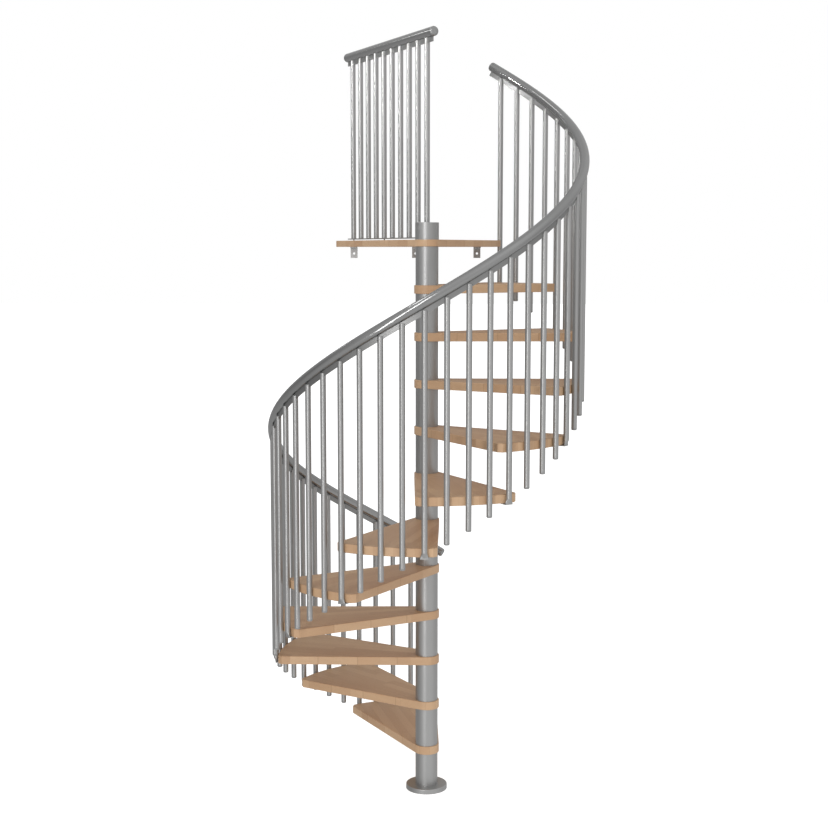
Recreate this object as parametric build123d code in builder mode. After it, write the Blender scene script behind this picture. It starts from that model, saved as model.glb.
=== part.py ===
"""Spiral staircase: a column of spacer tubes and wooden treads on a centre pole, with a helical
balustrade of slotted balusters, and a landing platform with its own straight balustrade.

Millimetres, +Z up. The origin is the middle of the base plate's underside, on the column's axis.
Angles turn anticlockwise seen from above, the way the stair climbs, and start at +X.
"""
import os
from math import acos, asin, atan2, cos, degrees, hypot, radians, sin, sqrt

from build123d import *

# Overall layout
overall_diameter = 1400.0
tread_count = 11
step_angle = 30.0
rise = 207.0
balusters_per_tread = 4
start_angle = 88.8

# Column
column_diameter = 100.0
stub_diameter = 104.0
spacer_wall = 4.0
pole_diameter = 48.0
pole_clearance = 0.3
base_diameter = 185.0
base_thickness = 22.0
base_edge_round = 4.0
column_stub = 74.0
cap_thickness = 4.0

# Treads
hub_diameter = 112.0
tread_thickness = 37.0
tread_front_angle = -33.3
tread_rear_angle = 4.4
tread_corner_chamfer = 16.0
tread_edge_round = 2.5

# Balusters
baluster_diameter = 24.0
baluster_edge_clearance = 0.3
baluster_end_round = 5.0
foot_width = 34.0
foot_thickness = 5.0
foot_length = 62.0
foot_flare = 20.0
foot_corner = 10.0

# Handrail
handrail_diameter = 42.0
handrail_height = 983.0
rail_start_overrun = 5.1
rail_end_overrun = 3.7
rail_cap_length = 14.0
rail_cap_round = 11.0
rail_cap_reveal = 1.5
bar_thickness = 6.0
bar_showing = 20.0
bar_groove = 5.0
bar_setback = 4.0
seat_clearance = 0.3
slot_clearance = 0.8

# Platform and its balustrade
platform_thickness = 30.0
platform_sink = 9.0
platform_depth = 810.0
platform_left = 440.0
platform_corner_cut = 56.0
platform_corner_run = 60.0
platform_rail_angle = 114.75
platform_rail_height = 881.0
platform_baluster_count = 9
platform_baluster_pitch = 93.25
platform_rail_near_overrun = 62.0
platform_rail_far_overrun = 61.0
base_strip_width = 30.0
base_strip_thickness = 5.0
base_strip_lift = 5.5
base_strip_overrun = 41.0
strip_stud_diameter = 6.0
strip_stud_every = 4

# Wall brackets under the platform's back edge
bracket_count = 3
bracket_pitch = 302.0
bracket_width = 34.0
bracket_thickness = 5.0
bracket_drop = 54.0
bracket_leg = 50.0
bracket_hole = 11.0
bracket_hole_drop = 32.0

# Spare length that every cutting shape runs past the piece it cuts
overrun = 12.0

# Worked-out places
rail_radius = overall_diameter / 2 - handrail_diameter / 2
tread_radius = rail_radius - baluster_diameter / 2 - baluster_edge_clearance
baluster_angle = step_angle / balusters_per_tread
baluster_rise = rise / balusters_per_tread
rail_slope = degrees(atan2(rise, rail_radius * radians(step_angle)))
platform_top = (tread_count + 1) * rise - platform_sink
platform_bottom = platform_top - platform_thickness
column_top = platform_top + column_stub
bar_height = bar_groove + bar_showing
bar_top = -handrail_diameter / 2 + bar_groove
slot_width = bar_thickness + 2 * slot_clearance
slot_cut_length = 2 * (handrail_diameter + bar_showing + overrun)

os.makedirs("parts", exist_ok=True)


def save(block, name):
    block.part.label = name
    export_step(block.part, f"parts/{name}.step")


def polar(radius, angle):
    return (radius * cos(radians(angle)), radius * sin(radians(angle)))


def foot_angle(number):
    return start_angle + number * step_angle


def climb(angle):
    return rise * (angle - start_angle) / step_angle


def tread_side(angle):
    """Place in x just inside the baluster at this angle."""
    return polar(rail_radius, angle)[0] - baluster_diameter / 2 - baluster_edge_clearance


def outline_edges(block):
    """Edges round the outside of a board's upper and lower faces."""
    boards = block.faces().filter_by(Axis.Z)
    return boards.sort_by(Axis.Z)[0].outer_wire().edges() + boards.sort_by(Axis.Z)[-1].outer_wire().edges()


def hub_tangent(point, side):
    """Angle on the hub where a straight edge from the point touches it, to one side (+1 or -1)."""
    reach = hypot(*point)
    return degrees(atan2(point[1], point[0])) + side * degrees(acos(hub_diameter / 2 / reach))


# Base plate
with BuildPart() as base_plate:
    with BuildSketch():
        Circle(base_diameter / 2)
    extrude(amount=base_thickness)
    fillet(base_plate.edges().group_by(Axis.Z)[-1], radius=base_edge_round)
save(base_plate, "base_plate")

# Centre pole that carries the treads' hubs
with BuildPart() as centre_pole:
    with BuildSketch(Plane.XY.offset(base_thickness)):
        Circle(pole_diameter / 2)
    extrude(amount=column_top - cap_thickness - base_thickness)
save(centre_pole, "centre_pole")

# Spacer tubes between the hubs, from the base plate to the stub above the platform
spacers = [(base_thickness, rise - tread_thickness, column_diameter)]
for number in range(1, tread_count):
    spacers.append((number * rise, (number + 1) * rise - tread_thickness, column_diameter))
spacers.append((tread_count * rise, platform_bottom, column_diameter))
spacers.append((platform_top, column_top - cap_thickness, stub_diameter))

with BuildPart() as spacer_tubes:
    for low, high, diameter in spacers:
        with BuildSketch(Plane.XY.offset(low)):
            Circle(diameter / 2)
            Circle(diameter / 2 - spacer_wall, mode=Mode.SUBTRACT)
        extrude(amount=high - low)
save(spacer_tubes, "spacer_tubes")

with BuildPart() as column_cap:
    with BuildSketch(Plane.XY.offset(column_top - cap_thickness)):
        Circle(stub_diameter / 2)
    extrude(amount=cap_thickness)
save(column_cap, "column_cap")

# Treads: a wedge whose straight edges run tangent into the round hub
for number in range(1, tread_count + 1):
    front = foot_angle(number) + tread_front_angle
    rear = foot_angle(number) + tread_rear_angle
    front_hub = hub_tangent(polar(tread_radius, front), -1)
    rear_hub = hub_tangent(polar(tread_radius, rear), 1)
    hub_sweep = (front_hub - rear_hub) % 360
    with BuildPart() as tread:
        with BuildSketch(Plane.XY.offset(number * rise - tread_thickness)):
            with BuildLine():
                CenterArc((0, 0), tread_radius, front, rear - front)
                Line(polar(tread_radius, rear), polar(hub_diameter / 2, rear_hub))
                CenterArc((0, 0), hub_diameter / 2, rear_hub, hub_sweep)
                Line(polar(hub_diameter / 2, front_hub), polar(tread_radius, front))
            make_face()
            outer_corners = vertices().sort_by(SortBy.DISTANCE)[-2:]
            chamfer(outer_corners, length=tread_corner_chamfer)
            Circle(pole_diameter / 2 + pole_clearance, mode=Mode.SUBTRACT)
        extrude(amount=tread_thickness)
        fillet(outline_edges(tread), radius=tread_edge_round)
    save(tread, f"tread_{number:02d}")

# Platform: a wedge from the hub that ends in a straight back edge against the landing, with its
# entry corner cut back beside the last baluster
entry_angle = foot_angle(tread_count + 1) + tread_front_angle
nose_angle = entry_angle + degrees(asin(hub_diameter / 2 / tread_radius))
entry_corner = polar(tread_radius, entry_angle)
entry_corner = (entry_corner[0] - platform_corner_cut * cos(radians(nose_angle)),
                entry_corner[1] - platform_corner_cut * sin(radians(nose_angle)))
platform_right = tread_side(foot_angle(tread_count))
side_start = (platform_right, entry_corner[1] + platform_corner_run)
back_right = (platform_right, platform_depth)
back_left = (-platform_left, platform_depth)
entry_hub = hub_tangent(entry_corner, -1)
left_hub = hub_tangent(back_left, 1)
with BuildPart() as platform:
    with BuildSketch(Plane.XY.offset(platform_bottom)):
        with BuildLine():
            Polyline(polar(hub_diameter / 2, entry_hub), entry_corner, side_start, back_right,
                     back_left, polar(hub_diameter / 2, left_hub))
            CenterArc((0, 0), hub_diameter / 2, left_hub, (entry_hub - left_hub) % 360)
        make_face()
        Circle(pole_diameter / 2 + pole_clearance, mode=Mode.SUBTRACT)
    extrude(amount=platform_thickness)
    landing_edges = platform.faces().sort_by(Axis.Y)[-1].edges()
    fillet([edge for edge in outline_edges(platform) if edge not in landing_edges], radius=tread_edge_round)
save(platform, "platform")

# One baluster of each kind, made at angle 0 with height 0 on the walking line, then placed by a
# turn and a lift, because the balustrade repeats along a screw
rail_seat = Plane(
    origin=(rail_radius, 0, handrail_height),
    x_dir=(0, cos(radians(rail_slope)), sin(radians(rail_slope))),
    z_dir=(1, 0, 0),
)


def tube_top(slope):
    """How far below the rail's axis a square-cut tube stops, so that its slotted top clears the rail."""
    half_slot = slot_width / 2
    prong_reach = sqrt((baluster_diameter / 2) ** 2 - half_slot ** 2)
    rail_reach = sqrt((handrail_diameter / 2) ** 2 - half_slot ** 2)
    return (prong_reach * sin(radians(slope)) + rail_reach + seat_clearance) / cos(radians(slope))


def cut_bar_slot(plane):
    """Slot a baluster's top over the flat bar, along the bar's slope."""
    with BuildSketch(plane) as slot:
        with Locations((0, -handrail_diameter / 2 - bar_showing - seat_clearance)):
            Rectangle(slot_cut_length, bar_height, align=(Align.CENTER, Align.MIN))
    extrude(slot.sketch, amount=slot_width / 2, both=True, mode=Mode.SUBTRACT)


with BuildPart() as hanging_baluster:
    with BuildSketch(Plane((rail_radius, 0, -tread_thickness))):
        Circle(baluster_diameter / 2)
    extrude(amount=handrail_height - tube_top(rail_slope) + tread_thickness)
    fillet(hanging_baluster.edges().group_by(Axis.Z)[0], radius=baluster_end_round)
    cut_bar_slot(rail_seat)


def footed_baluster(level):
    """Baluster whose lower end is pressed flat, wider than the tube, and turned in at this level."""
    tube_end = Plane((rail_radius, 0, level + foot_flare))
    pressed_end = Plane((rail_radius, 0, level))
    with BuildPart() as baluster:
        with BuildSketch(tube_end):
            Circle(baluster_diameter / 2)
        extrude(amount=handrail_height - tube_top(rail_slope) - level - foot_flare)
        cut_bar_slot(rail_seat)
        with BuildSketch(tube_end):
            Circle(baluster_diameter / 2)
        with BuildSketch(pressed_end):
            SlotOverall(foot_width, foot_thickness, rotation=90)
        loft()
        with BuildSketch(Plane((rail_radius + foot_thickness / 2, 0, level))):
            Rectangle(foot_length, foot_width, align=(Align.MAX, Align.CENTER))
        tongue = extrude(amount=-foot_thickness)
        fillet(tongue.edges().filter_by(Axis.Z).sort_by(Axis.X)[:2], radius=foot_corner)
    return baluster


def place(piece, index):
    """Baluster number index, counted from the one at the foot of the stair."""
    angle = start_angle + index * baluster_angle
    with Locations(Location((0, 0, index * baluster_rise), (0, 0, angle))):
        add(piece.part)


tread_baluster = footed_baluster(-tread_thickness)
for number in range(1, tread_count + 1):
    foot_index = number * balusters_per_tread
    with BuildPart() as balusters:
        for index in range(foot_index - balusters_per_tread + 1, foot_index):
            place(hanging_baluster, index)
        place(tread_baluster, foot_index)
    save(balusters, f"balusters_{number:02d}")

# The first baluster stands on the floor, its flat foot turned in like the others
floor_baluster = footed_baluster(foot_thickness)
with BuildPart() as start_baluster:
    place(floor_baluster, 0)
save(start_baluster, "start_baluster")

# Helical handrail, grooved over the flat bar that the balusters carry
rail_from = start_angle - rail_start_overrun
rail_to = foot_angle(tread_count) + rail_end_overrun
screw_pitch = rise * 360 / step_angle
bar_trim = degrees(bar_setback / rail_radius)


def screw_path(angle_from, angle_to):
    with BuildLine() as path:
        add(
            Edge.make_helix(
                pitch=screw_pitch,
                height=climb(angle_to) - climb(angle_from),
                radius=rail_radius,
                center=(0, 0, handrail_height + climb(angle_from)),
            ),
            rotation=angle_from,
        )
    return path.line


def across(path, end, outward=1):
    """Plane square to the path at one of its ends, with its x axis pointing away from the column."""
    point = path @ end
    return Plane(origin=point, x_dir=(point.X, point.Y, 0), z_dir=(path % end) * outward)


def rail_section(plane):
    """Round rail with the groove for the bar, on a plane whose y axis points down."""
    with BuildSketch(plane) as section:
        Circle(handrail_diameter / 2)
        with Locations((0, handrail_diameter / 2 - bar_groove)):
            Rectangle(slot_width, handrail_diameter, mode=Mode.SUBTRACT, align=(Align.CENTER, Align.MIN))
    return section.sketch


rail_path = screw_path(rail_from, rail_to)
with BuildPart() as handrail:
    sweep(rail_section(across(rail_path, 0)), path=rail_path, is_frenet=True)
save(handrail, "handrail")

bar_path = screw_path(rail_from + bar_trim, rail_to - bar_trim)
with BuildPart() as handrail_bar:
    with BuildSketch(across(bar_path, 0)):
        with Locations((0, -bar_top + seat_clearance)):
            Rectangle(bar_thickness, bar_height - seat_clearance, align=(Align.CENTER, Align.MIN))
    sweep(path=bar_path, is_frenet=True)
save(handrail_bar, "handrail_bar")


def rail_cap(plane):
    """Domed end cap, with a narrow neck that leaves a shadow line against the rail's end."""
    with BuildSketch(plane) as neck:
        Circle(handrail_diameter / 2 - rail_cap_reveal)
    extrude(neck.sketch, amount=rail_cap_reveal)
    with BuildSketch(plane.offset(rail_cap_reveal)) as disc:
        Circle(handrail_diameter / 2)
    cap = extrude(disc.sketch, amount=rail_cap_length - rail_cap_reveal)
    fillet(cap.faces().sort_by(Axis(plane.origin, plane.z_dir))[-1].edges(), radius=rail_cap_round)


with BuildPart() as handrail_caps:
    rail_cap(across(rail_path, 0, -1))
    rail_cap(across(rail_path, 1))
save(handrail_caps, "handrail_caps")

# Platform balustrade, straight out from the column's axis beside the platform's left edge
run_direction = (*polar(1, platform_rail_angle), 0)
platform_rail_level = platform_top + platform_rail_height
last_baluster = platform_baluster_count * platform_baluster_pitch
run = Plane(origin=(0, 0, platform_rail_level), x_dir=run_direction,
            z_dir=(sin(radians(platform_rail_angle)), -cos(radians(platform_rail_angle)), 0))
strip_bottom = platform_top + base_strip_lift
strip_top = strip_bottom + base_strip_thickness
strip_start = stub_diameter / 2 + seat_clearance


def along_run(distance, level):
    x, y = polar(distance, platform_rail_angle)
    return Plane(origin=(x, y, level), x_dir=run_direction, z_dir=(0, 0, 1))


with BuildPart() as platform_base_strip:
    with BuildSketch(along_run(strip_start, strip_bottom)):
        Rectangle(last_baluster + base_strip_overrun - strip_start, base_strip_width,
                  align=(Align.MIN, Align.CENTER))
    extrude(amount=base_strip_thickness)
    for number in range(1, platform_baluster_count + 1, strip_stud_every):
        with BuildSketch(along_run(number * platform_baluster_pitch, platform_top)):
            Circle(strip_stud_diameter / 2)
        extrude(amount=base_strip_lift)
save(platform_base_strip, "platform_base_strip")

with BuildPart() as platform_balusters:
    for number in range(platform_baluster_count + 1):
        distance = number * platform_baluster_pitch
        foot_level = strip_top if number else column_top
        with BuildSketch(along_run(distance, foot_level)):
            Circle(baluster_diameter / 2)
        extrude(amount=platform_rail_level - tube_top(0) - foot_level)
        x, y = polar(distance, platform_rail_angle)
        cut_bar_slot(Plane(origin=(x, y, platform_rail_level), x_dir=run.x_dir, z_dir=run.z_dir))
save(platform_balusters, "platform_balusters")

near_end = along_run(-platform_rail_near_overrun, platform_rail_level).origin
far_end = along_run(last_baluster + platform_rail_far_overrun, platform_rail_level).origin
with BuildPart() as platform_rail:
    section = rail_section(Plane(origin=near_end, x_dir=run.z_dir, z_dir=run_direction))
    extrude(section, amount=last_baluster + platform_rail_near_overrun + platform_rail_far_overrun)
save(platform_rail, "platform_rail")

with BuildPart() as platform_rail_bar:
    with BuildSketch(run):
        with Locations((bar_setback - platform_rail_near_overrun, bar_top - seat_clearance)):
            Rectangle(
                last_baluster + platform_rail_near_overrun + platform_rail_far_overrun - 2 * bar_setback,
                bar_height - seat_clearance,
                align=(Align.MIN, Align.MAX),
            )
    extrude(amount=bar_thickness / 2, both=True)
save(platform_rail_bar, "platform_rail_bar")

with BuildPart() as platform_rail_caps:
    rail_cap(Plane(origin=near_end, x_dir=run.z_dir, z_dir=-run.x_dir))
    rail_cap(Plane(origin=far_end, x_dir=run.z_dir, z_dir=run.x_dir))
save(platform_rail_caps, "platform_rail_caps")

# Angle brackets that bolt the platform's back edge to the landing
bracket_middle = (back_right[0] + back_left[0]) / 2
bracket_first = bracket_middle - bracket_pitch * (bracket_count - 1) / 2
with BuildPart() as platform_brackets:
    for number in range(bracket_count):
        middle = bracket_first + number * bracket_pitch
        with BuildSketch(Plane.XY.offset(platform_bottom)):
            with Locations((middle, platform_depth)):
                Rectangle(bracket_width, bracket_leg, align=(Align.CENTER, Align.MAX))
        extrude(amount=-bracket_thickness)
        landing = Plane(origin=(middle, platform_depth, platform_bottom), x_dir=(1, 0, 0), z_dir=(0, -1, 0))
        with BuildSketch(landing):
            Rectangle(bracket_width, bracket_drop, align=(Align.CENTER, Align.MAX))
            with Locations((0, -bracket_hole_drop)):
                Circle(bracket_hole / 2, mode=Mode.SUBTRACT)
        extrude(amount=bracket_thickness)
save(platform_brackets, "platform_brackets")
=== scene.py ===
import math

import bmesh
import bpy
from mathutils import Matrix, Vector


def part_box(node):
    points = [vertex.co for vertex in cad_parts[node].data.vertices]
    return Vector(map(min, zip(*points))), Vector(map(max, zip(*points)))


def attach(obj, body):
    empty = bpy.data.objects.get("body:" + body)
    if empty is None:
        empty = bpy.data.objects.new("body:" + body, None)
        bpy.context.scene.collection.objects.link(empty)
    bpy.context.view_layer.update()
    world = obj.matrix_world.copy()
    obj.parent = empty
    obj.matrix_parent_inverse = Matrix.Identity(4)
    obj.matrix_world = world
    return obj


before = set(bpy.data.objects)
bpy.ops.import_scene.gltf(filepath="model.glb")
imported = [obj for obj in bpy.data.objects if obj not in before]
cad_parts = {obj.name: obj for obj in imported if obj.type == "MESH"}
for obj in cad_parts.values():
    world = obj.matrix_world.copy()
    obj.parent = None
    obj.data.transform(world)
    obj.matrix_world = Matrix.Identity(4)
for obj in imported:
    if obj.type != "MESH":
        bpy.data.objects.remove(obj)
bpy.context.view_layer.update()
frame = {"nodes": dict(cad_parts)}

nodes = frame["nodes"]
scene = bpy.context.scene
print("frame loaded:", len(nodes), "nodes")

# the stair's own layout, metres and degrees; levels come from the frame
firstLow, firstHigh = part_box("tread_01")
railThick = 0.042
stair = {
    "startAngle": 88.8,
    "stepAngle": 30.0,
    "treads": 11,
    "rise": firstHigh.z,
    "treadThick": firstHigh.z - firstLow.z,
    "treadFront": -33.3,
    "treadRear": 4.4,
    "railRadius": 0.679,
    "railHeight": 0.983,
    "railRun": 114.75,
    "balustersPerTread": 4,
    "platformRun": 90.0,
    "platformBottom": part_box("platform")[0].z,
    "platformRailLevel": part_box("platform_rail")[1].z - railThick / 2,
}


# shader helpers
class Value:  # one number in a node tree; sums on it add Math nodes
    def __init__(self, nodes, socket):
        self.nodes = nodes
        self.socket = socket

    def math(self, operation, *terms):
        inputs = {i: t for i, t in enumerate(terms)}
        return self.nodes.node("ShaderNodeMath", {"operation": operation}, inputs)

    def __add__(self, other):
        return self.math("ADD", self, other)

    def __radd__(self, other):
        return self.math("ADD", other, self)

    def __sub__(self, other):
        return self.math("SUBTRACT", self, other)

    def __rsub__(self, other):
        return self.math("SUBTRACT", other, self)

    def __mul__(self, other):
        return self.math("MULTIPLY", self, other)

    def __rmul__(self, other):
        return self.math("MULTIPLY", other, self)

    def __truediv__(self, other):
        return self.math("DIVIDE", self, other)

    def __gt__(self, other):
        return self.math("GREATER_THAN", self, other)

    def __lt__(self, other):
        return self.math("LESS_THAN", self, other)

    def floor(self):
        return self.math("FLOOR", self)

    def fract(self):
        return self.math("FRACT", self)

    def wrap(self, low, high):
        return self.math("WRAP", self, high, low)

    def least(self, other):
        return self.math("MINIMUM", self, other)

    def most(self, other):
        return self.math("MAXIMUM", self, other)

    def size(self):
        return self.math("ABSOLUTE", self)

    def turnOf(self, across):  # degrees about the column, from x and y
        return self.math("ARCTAN2", across, self) * (180 / math.pi)


def socketNamed(made, name):  # a node can hold several sockets of one name, with one of them in use
    return next(s for s in made.inputs if s.name == name and s.enabled)


class Nodes:  # a node tree, of a material or of the world
    def __init__(self, owner):
        owner.use_nodes = True
        self.owner = owner
        self.tree = owner.node_tree
        self.tree.nodes.clear()

    def node(self, kind, settings=None, inputs=None, output=None):
        made = self.tree.nodes.new(kind)
        for key, value in (settings or {}).items():
            setattr(made, key, value)
        for key, value in (inputs or {}).items():
            socket = made.inputs[key] if isinstance(key, int) else socketNamed(made, key)
            if isinstance(value, Value):
                self.tree.links.new(value.socket, socket)
            elif isinstance(value, tuple) and len(value) < len(socket.default_value):
                socket.default_value = (*value, 1.0)
            else:
                socket.default_value = value
        outs = [Value(self, s) for s in made.outputs if s.enabled and output in (None, s.name)]
        return outs[0] if len(outs) == 1 else outs

    def turned(self, turn=0.0):  # object metres, turned about the column
        return self.node("ShaderNodeMapping", {"vector_type": "POINT"}, {
            "Vector": self.node("ShaderNodeTexCoord", None, None, "Object"),
            "Rotation": (0.0, 0.0, math.radians(-turn))})

    def parts(self, vector):
        return self.node("ShaderNodeSeparateXYZ", None, {"Vector": vector})

    def vector(self, x, y, z):
        return self.node("ShaderNodeCombineXYZ", None, {"X": x, "Y": y, "Z": z})

    def noise(self, vector, scale, detail, rough):
        return self.node("ShaderNodeTexNoise", {"noise_dimensions": "3D"}, {
            "Vector": vector, "Scale": scale, "Detail": detail, "Roughness": rough}, "Fac")

    def stretched(self, vector, scales):
        return self.node("ShaderNodeVectorMath", {"operation": "MULTIPLY"}, {0: vector, 1: scales}, "Vector")

    def moved(self, vector, other):
        return self.node("ShaderNodeVectorMath", {"operation": "ADD"}, {0: vector, 1: other}, "Vector")

    def chance(self, x, y):  # one random number per cell
        return self.node("ShaderNodeTexWhiteNoise", {"noise_dimensions": "2D"},
                         {"Vector": self.vector(x, y, 0.0)}, "Value")

    def ease(self, value, low, high, toLow=0.0, toHigh=1.0):
        return self.node("ShaderNodeMapRange", {"interpolation_type": "SMOOTHSTEP"}, {
            "Value": value, "From Min": low, "From Max": high, "To Min": toLow, "To Max": toHigh}, "Result")

    def mix(self, share, a, b):
        return self.node("ShaderNodeMix", {"data_type": "RGBA"}, {"Factor": share, "A": a, "B": b}, "Result")

    def bump(self, height, strength, distance):
        return self.node("ShaderNodeBump", None, {
            "Strength": strength, "Distance": distance, "Height": height})

    def surface(self, inputs):
        shader = self.node("ShaderNodeBsdfPrincipled", None, inputs)
        self.node("ShaderNodeOutputMaterial", None, {"Surface": shader})
        return self.owner


def newFinish(name):
    return Nodes(bpy.data.materials.new(name))


# beech: glued staves that run along each tread
beech = {
    "pale": (0.67, 0.45, 0.272),
    "deep": (0.575, 0.36, 0.207),
    "fleck": (0.36, 0.20, 0.105),
    "seam": (0.33, 0.19, 0.10),
    "staveWide": 0.043,
    "staveLong": 0.46,
    "seamWide": 0.0006,
    "fibres": (9, 210, 210),  # marks per metre along, across and down the stave
    "rings": (1.6, 34, 34),
    "dashes": (110, 900, 900),
    "fleckFrom": 0.63,
    "fleckTo": 0.72,
    "fleckShare": 0.42,
    "seamShare": 0.55,
    "rough": 0.42,
    "lacquer": 0.10,
    "lacquerRough": 0.34,
    "relief": 0.0004,
    "reliefShare": 0.25,
}


def makeBeech(name, turn, seed):
    f = newFinish(name)
    at = f.turned(turn)
    x, y, _ = f.parts(at)
    across = y / beech["staveWide"] + seed * 7
    row = across.floor()
    acrossStave = across.fract()
    run = x / beech["staveLong"] + f.chance(row, seed) * 3
    stave = run.floor()
    alongStave = run.fract()
    tone = f.chance(row + seed * 31, stave)
    grainAt = f.moved(at, f.vector(tone * 3.1, tone * 5.3, tone * 1.7))
    fibres = f.noise(f.stretched(grainAt, beech["fibres"]), 1.0, 5.0, 0.6)
    rings = f.noise(f.stretched(grainAt, beech["rings"]), 1.0, 3.0, 0.55)
    dashes = f.noise(f.stretched(grainAt, beech["dashes"]), 1.0, 1.0, 0.4)
    fleck = f.ease(dashes, beech["fleckFrom"], beech["fleckTo"])
    edge = (acrossStave.least(1 - acrossStave) * beech["staveWide"]).least(
        alongStave.least(1 - alongStave) * beech["staveLong"])
    seam = f.ease(edge, 0.0, beech["seamWide"], 1.0, 0.0)
    warmth = f.ease(tone * 0.62 + rings * 0.5 + fibres * 0.18, 0.25, 1.0)
    colour = f.mix(warmth, beech["pale"], beech["deep"])
    colour = f.mix(fleck * beech["fleckShare"], colour, beech["fleck"])
    colour = f.mix(seam * beech["seamShare"], colour, beech["seam"])
    rough = beech["rough"] + fibres * 0.10 + fleck * 0.12
    height = fibres * 0.35 - fleck * 0.5 - seam
    return f.surface({
        "Base Color": colour, "Roughness": rough, "IOR": 1.46,
        "Coat Weight": beech["lacquer"], "Coat Roughness": beech["lacquerRough"],
        "Normal": f.bump(height, beech["reliefShare"], beech["relief"])})


# silver-grey powder coat on steel
powder = {
    "colour": (0.42, 0.42, 0.416),
    "flake": (0.455, 0.455, 0.451),
    "shade": (0.385, 0.385, 0.382),
    "metallic": 0.85,
    "rough": 0.40,
    "flakes": 2600.0,  # marks per metre
    "clouds": 5.0,
    "peel": 620.0,
    "relief": 0.0001,
    "reliefShare": 0.02,
    "barShadeTone": 0.66,  # painted shade: the flat bars are drawn a darker grey for the shade of the rail above them
}


def coatLook(f, at, tone=1.0):
    flake = f.noise(at, powder["flakes"], 1.0, 0.5)
    cloud = f.noise(at, powder["clouds"], 3.0, 0.55)
    peel = f.noise(at, powder["peel"], 2.0, 0.5)
    shades = {key: tuple(tone * c for c in powder[key]) for key in ("colour", "flake", "shade")}
    colour = f.mix(f.ease(flake, 0.42, 0.68), shades["colour"], shades["flake"])
    colour = f.mix(f.ease(cloud, 0.35, 0.75) * 0.30, colour, shades["shade"])
    rough = powder["rough"] + cloud * 0.06 - flake * 0.05
    return colour, rough, peel


def makePowder(name, tone=1.0):
    f = newFinish(name)
    colour, rough, peel = coatLook(f, f.turned(), tone)
    return f.surface({
        "Base Color": colour, "Roughness": rough, "Metallic": powder["metallic"],
        "Normal": f.bump(peel, powder["reliefShare"], powder["relief"])})


# balusters carry the same coat, with a plug seam at the lower end of each hanging one
plug = {
    "from": -0.0295,
    "seam": 0.0007,
    "seamDeep": 4,
    "colour": (0.25, 0.25, 0.247),
    "gap": (0.06, 0.06, 0.06),
}


def makeBalusterCoat(name):
    f = newFinish(name)
    at = f.turned()
    x, y, z = f.parts(at)
    turn = x.turnOf(y)
    each = stair["balustersPerTread"]
    pitch = stair["stepAngle"] / each
    index = ((turn - (stair["startAngle"] - pitch / 2)).wrap(0.0, 360.0) / pitch).floor()
    height = z - index * (stair["rise"] / each) - plug["from"]
    hanging = (index / each).fract() > 0.1
    inPlug = (height < 0.0) * hanging
    seam = f.ease(height.size(), 0.0, plug["seam"], 1.0, 0.0) * hanging
    colour, rough, peel = coatLook(f, at)
    colour = f.mix(inPlug * 0.6, colour, plug["colour"])
    colour = f.mix(seam * 0.7, colour, plug["gap"])
    return f.surface({
        "Base Color": colour, "Roughness": rough + inPlug * 0.08,
        "Metallic": powder["metallic"] * (1 - inPlug),
        "Normal": f.bump(peel - seam * plug["seamDeep"], powder["reliefShare"], powder["relief"])})


# grey gloss of the rails, with faint draw lines along them
railSkin = {
    "colour": (0.34, 0.341, 0.34),
    "shade": (0.305, 0.306, 0.305),
    "metallic": 0.85,
    "rough": 0.10,
    "lines": 420.0,  # marks per metre
    "clouds": 7.0,
    "specks": 900.0,
    "relief": 0.0002,
    "reliefShare": 0.05,
    "driftPerDegree": 0.02,  # slow change of the lines along the rail
    "driftPerMetre": 1.6,
    "ahead": 16.0,  # degrees before the start, clear of both ends of the rail
}


def railLook(f, section, at):
    lines = f.noise(section, 1.0, 3.0, 0.6)
    cloud = f.noise(at, railSkin["clouds"], 3.0, 0.55)
    speck = f.noise(at, railSkin["specks"], 1.0, 0.5)
    colour = f.mix(f.ease(lines * 0.6 + cloud * 0.5, 0.35, 0.8), railSkin["colour"], railSkin["shade"])
    rough = railSkin["rough"] + lines * 0.05 + cloud * 0.04
    return f.surface({
        "Base Color": colour, "Roughness": rough, "Metallic": railSkin["metallic"], "IOR": 1.5,
        "Normal": f.bump(lines * 0.8 + speck * 0.3, railSkin["reliefShare"], railSkin["relief"])})


def makeHelixRail(name):
    f = newFinish(name)
    at = f.turned()
    x, y, z = f.parts(at)
    ahead = railSkin["ahead"]
    run = (x.turnOf(y) - (stair["startAngle"] - ahead)).wrap(0.0, 360.0)
    axis = stair["railHeight"] + (run - ahead) * (stair["rise"] / stair["stepAngle"])
    radius = f.node("ShaderNodeVectorMath", {"operation": "LENGTH"}, {0: f.vector(x, y, 0.0)}, "Value")
    outward = (radius - stair["railRadius"]) * railSkin["lines"]
    upward = (z - axis) * railSkin["lines"]
    return railLook(f, f.vector(outward, upward, run * railSkin["driftPerDegree"]), at)


def makeStraightRail(name):
    f = newFinish(name)
    at = f.turned(stair["railRun"])
    x, y, z = f.parts(at)
    outward = y * railSkin["lines"]
    upward = (z - stair["platformRailLevel"]) * railSkin["lines"]
    return railLook(f, f.vector(outward, upward, x * railSkin["driftPerMetre"]), at)


endCap = {"grain": 700.0, "clouds": 30.0, "rough": 0.24, "relief": 0.0002, "reliefShare": 0.06}


def makeCap(name):
    f = newFinish(name)
    at = f.turned()
    grain = f.noise(at, endCap["grain"], 2.0, 0.5)
    cloud = f.noise(at, endCap["clouds"], 2.0, 0.5)
    colour = f.mix(f.ease(cloud, 0.3, 0.8), railSkin["colour"], railSkin["shade"])
    return f.surface({
        "Base Color": colour, "Roughness": endCap["rough"] + grain * 0.06,
        "Metallic": railSkin["metallic"], "IOR": 1.5,
        "Normal": f.bump(grain, endCap["reliefShare"], endCap["relief"])})


# bright zinc of the small screws
zincSkin = {"dull": (0.52, 0.52, 0.53), "bright": (0.70, 0.70, 0.69), "brush": 1500.0, "rough": 0.24}


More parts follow.
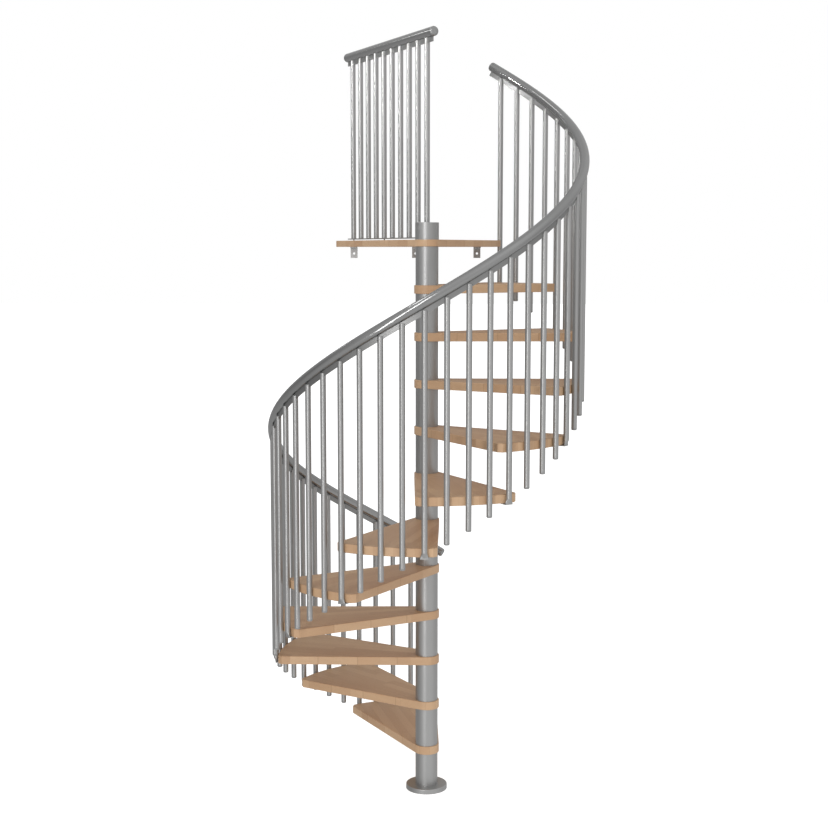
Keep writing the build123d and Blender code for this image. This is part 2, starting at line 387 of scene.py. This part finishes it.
def makeZinc(name):
    f = newFinish(name)
    brush = f.noise(f.turned(), zincSkin["brush"], 3.0, 0.6)
    colour = f.mix(brush, zincSkin["dull"], zincSkin["bright"])
    return f.surface({"Base Color": colour, "Metallic": 1.0, "Roughness": zincSkin["rough"] + brush * 0.16})


def paint(names, material):
    for name in names:
        for s in nodes[name].material_slots:
            s.material = material


treadNumbers = range(1, stair["treads"] + 1)
treadMiddle = stair["startAngle"] + (stair["treadFront"] + stair["treadRear"]) / 2
for number in treadNumbers:
    turn = treadMiddle + number * stair["stepAngle"]
    paint([f"tread_{number:02d}"], makeBeech(f"beechTread{number:02d}", turn, number))
paint(["platform"], makeBeech("beechPlatform", stair["platformRun"], stair["treads"] + 1))
plainSteel = ["base_plate", "spacer_tubes", "centre_pole", "column_cap"]
platformSteel = ["platform_base_strip", "platform_brackets", "platform_balusters"]
paint(plainSteel + platformSteel, makePowder("silverPowderCoat"))
# painted shade: the flat bars under the rails get a darker coat for the shade the rails cast on them
paint(["handrail_bar", "platform_rail_bar"], makePowder("barPowderCoatShaded", powder["barShadeTone"]))
balusters = [f"balusters_{number:02d}" for number in treadNumbers]
paint(balusters + ["start_baluster"], makeBalusterCoat("balusterPowderCoat"))
paint(["handrail"], makeHelixRail("railGloss"))
paint(["platform_rail"], makeStraightRail("platformRailGloss"))
paint(["handrail_caps", "platform_rail_caps"], makeCap("capGloss"))
zinc = makeZinc("zincScrew")
print("finishes done:", len(bpy.data.materials))


# small screws
screwHead = {"segments": 24, "roundShare": 0.6, "roundSteps": 3, "wallShare": 0.02, "socketDeepShare": 0.5}
sharpAngle = 38


def newPiece(name, bm, material):
    mesh = bpy.data.meshes.new(name)
    bmesh.ops.recalc_face_normals(bm, faces=bm.faces[:])
    for face in bm.faces:
        face.smooth = True
    bm.to_mesh(mesh)
    bm.free()
    mesh.set_sharp_from_angle(angle=math.radians(sharpAngle))
    piece = bpy.data.objects.new(name, mesh)
    scene.collection.objects.link(piece)
    mesh.materials.append(material)
    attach(piece, "root")


def screwMesh(wide, high, socket):  # pan head with a socket, standing on z = 0
    bm = bmesh.new()
    raised = Matrix.Translation((0, 0, high / 2))
    bmesh.ops.create_cone(bm, cap_ends=True, segments=screwHead["segments"], radius1=wide / 2,
                          radius2=wide / 2, depth=high, matrix=raised)
    rim = [e for e in bm.edges if all(v.co.z > high / 2 for v in e.verts)]
    bmesh.ops.bevel(bm, geom=rim, offset=high * screwHead["roundShare"], segments=screwHead["roundSteps"],
                    profile=0.5, affect="EDGES", material=-1)
    lid = max(bm.faces, key=lambda face: face.calc_center_median().z)
    bmesh.ops.inset_region(bm, faces=[lid], thickness=lid.verts[0].co.xy.length - socket / 2)
    bmesh.ops.inset_region(bm, faces=[lid], thickness=socket * screwHead["wallShare"],
                           depth=-high * screwHead["socketDeepShare"])
    mesh = bpy.data.meshes.new("screw")
    bm.to_mesh(mesh)
    bm.free()
    return mesh


def addScrew(bm, screw, place):
    before = len(bm.verts)
    bm.from_mesh(screw)
    bm.verts.ensure_lookup_table()
    bmesh.ops.transform(bm, matrix=place, verts=bm.verts[before:])


def pointing(spot, axis):
    return Matrix.Translation(spot) @ Vector(axis).to_track_quat("Z", "Y").to_matrix().to_4x4()


footScrew = {"wide": 0.0095, "high": 0.0032, "socket": 0.0046, "radius": 0.638, "below": 0.005}
bm = bmesh.new()
screw = screwMesh(footScrew["wide"], footScrew["high"], footScrew["socket"])
for number in treadNumbers:
    turn = math.radians(stair["startAngle"] + number * stair["stepAngle"])
    level = number * stair["rise"] - stair["treadThick"] - footScrew["below"]
    spot = Vector((footScrew["radius"] * math.cos(turn), footScrew["radius"] * math.sin(turn), level))
    addScrew(bm, screw, pointing(spot, (0, 0, -1)))
newPiece("foot_screws", bm, zinc)

bracketScrew = {
    "wide": 0.009,
    "high": 0.003,
    "socket": 0.0044,
    "pitch": 0.302,
    "forward": 0.018,
    "apart": 0.016,
    "below": 0.005,
}
low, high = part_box("platform_brackets")
middle = (low.x + high.x) / 2
bm = bmesh.new()
screw = screwMesh(bracketScrew["wide"], bracketScrew["high"], bracketScrew["socket"])
level = stair["platformBottom"] - bracketScrew["below"]
for number in (-1, 0, 1):
    for side in (-0.5, 0.5):
        sideways = middle + number * bracketScrew["pitch"] + side * bracketScrew["apart"]
        spot = Vector((sideways, low.y + bracketScrew["forward"], level))
        addScrew(bm, screw, pointing(spot, (0, 0, -1)))
newPiece("bracket_screws", bm, zinc)
print("screws done")

# floor, light and camera
studio = {
    "floorHalf": 60.0,
    "floorTone": (0.8, 0.8, 0.8),
    "floorRough": 0.8,
    "floorGlow": 0.75,
    "white": (1.0, 1.0, 1.0),
    "ambient": 0.12,
    "softFrom": {  # strength of the soft light from each side
        (1, 0, 0): 0.38,
        (-1, 0, 0): 0.10,
        (0, -1, 0): 0.51,
        (0, 1, 0): 0.17,
        (0, 0, 1): 0.47,
        (0, 0, -1): 0.35,
    },
}
bm = bmesh.new()
bmesh.ops.create_grid(bm, x_segments=1, y_segments=1, size=studio["floorHalf"])
floorMesh = bpy.data.meshes.new("floor")
bm.to_mesh(floorMesh)
bm.free()
floor = bpy.data.objects.new("floor", floorMesh)
scene.collection.objects.link(floor)
floorMesh.materials.append(newFinish("paleFloor").surface({
    "Base Color": studio["floorTone"], "Roughness": studio["floorRough"],
    "Emission Color": studio["white"], "Emission Strength": studio["floorGlow"]}))
floor.visible_diffuse = False
floor.visible_glossy = False
floor.visible_shadow = False

scene.world = bpy.data.worlds.new("studio")
air = Nodes(scene.world)
direction = air.node("ShaderNodeTexCoord", None, None, "Generated")
light = studio["ambient"]
for side, amount in studio["softFrom"].items():
    facing = air.node("ShaderNodeVectorMath", {"operation": "DOT_PRODUCT"}, {0: direction, 1: side}, "Value")
    light = facing.most(0.0) * amount + light
seen = air.node("ShaderNodeLightPath", None, None, "Is Camera Ray")  # the camera sees plain white
glow = seen + (1 - seen) * light
backdrop = air.node("ShaderNodeBackground", None, {"Color": studio["white"], "Strength": glow})
air.node("ShaderNodeOutputWorld", None, {"Surface": backdrop})

lamps = {
    "key": {
        "from": (-2.42, -6.14, 2.8), "to": (0.0, 0.0, 2.4), "size": (0.8, 7.6),
        "power": 125.0, "spread": 180},
    "left": {  # lights the upper tubes
        "from": (-3.45, -0.7, 3.7), "to": (0.0, 0.3, 4.6), "size": (0.6, 0.4),
        "power": 17.0, "spread": 70},
    "behind": {  # streak on the platform's rail
        "from": (-3.0, 2.6, 4.2), "to": (0.0, 0.1, 3.36), "size": (0.25, 0.25),
        "power": 1.0, "spread": 180},
    "top": {  # streaks on the helical rail
        "from": (-4.3, 0.5, 8.8), "to": (0.3, 0.2, 3.2), "size": (3.0, 0.6),
        "power": 24.0, "spread": 180},
}
for name, lamp in lamps.items():
    panel = bpy.data.lights.new(name, "AREA")
    panel.shape = "RECTANGLE"
    panel.size, panel.size_y = lamp["size"]
    panel.energy = lamp["power"]
    panel.spread = math.radians(lamp["spread"])
    holder = bpy.data.objects.new(name, panel)
    scene.collection.objects.link(holder)
    holder.location = lamp["from"]
    aim = Vector(lamp["to"]) - Vector(lamp["from"])
    holder.rotation_euler = aim.to_track_quat("-Z", "Y").to_euler()
    holder.visible_camera = False

view = {
    "at": (-0.0493, -6.4058, 2.4285),
    "down": 6.408,
    "left": 0.0668,
    "lens": 63.376,
    "sensor": 36.0,
    "far": 200.0,
}
camera = bpy.data.objects.new("camera", bpy.data.cameras.new("camera"))
scene.collection.objects.link(camera)
camera.location = view["at"]
camera.rotation_euler = (math.radians(90 - view["down"]), 0.0, math.radians(view["left"]))
camera.data.lens = view["lens"]
camera.data.sensor_width = view["sensor"]
camera.data.clip_end = view["far"]
scene.camera = camera
scene.view_settings.view_transform = "Standard"
print("studio done")
